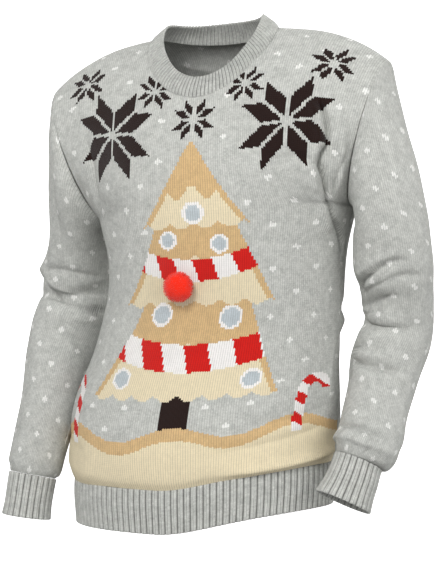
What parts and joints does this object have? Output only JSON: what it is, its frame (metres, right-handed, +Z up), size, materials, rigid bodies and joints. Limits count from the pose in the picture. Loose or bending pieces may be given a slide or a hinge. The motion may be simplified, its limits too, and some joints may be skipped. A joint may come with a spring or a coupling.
{
  "type": "knitted christmas sweater",
  "caption": "Long-sleeved crew-neck knitted sweater in a standing pose, one hand at the hip, with a knitted winter picture, ribbed edges and a felt pompom",
  "frame": {"origin": "the middle of the neck opening, level with the inner ends of the shoulder seams, where the wearer's neck and shoulders carry the sweater", "axes": "+Z is up, the front faces -Y and +X is the wearer's left"},
  "size_m": [0.5938, 0.2688, 0.6979],
  "materials": {
    "picture_knit": "plain knit in light grey marl yarn with a picture in other yarns, matt",
    "grey_knit": "plain knit in light grey marl yarn with small white dots, matt",
    "grey_rib": "ribbing in light grey marl yarn, matt",
    "red_felt": "felted wool ball, slightly fuzzy, matt"
  },
  "bodies": {
    "root": {"front_panel": "picture_knit", "back_panel": "grey_knit", "left_sleeve": "grey_knit", "right_sleeve": "grey_knit", "neck_rib": "grey_rib", "front_hem_rib": "grey_rib", "back_hem_rib": "grey_rib", "left_cuff": "grey_rib", "right_cuff": "grey_rib", "pompom": "red_felt"}
  },
  "joints": []
}
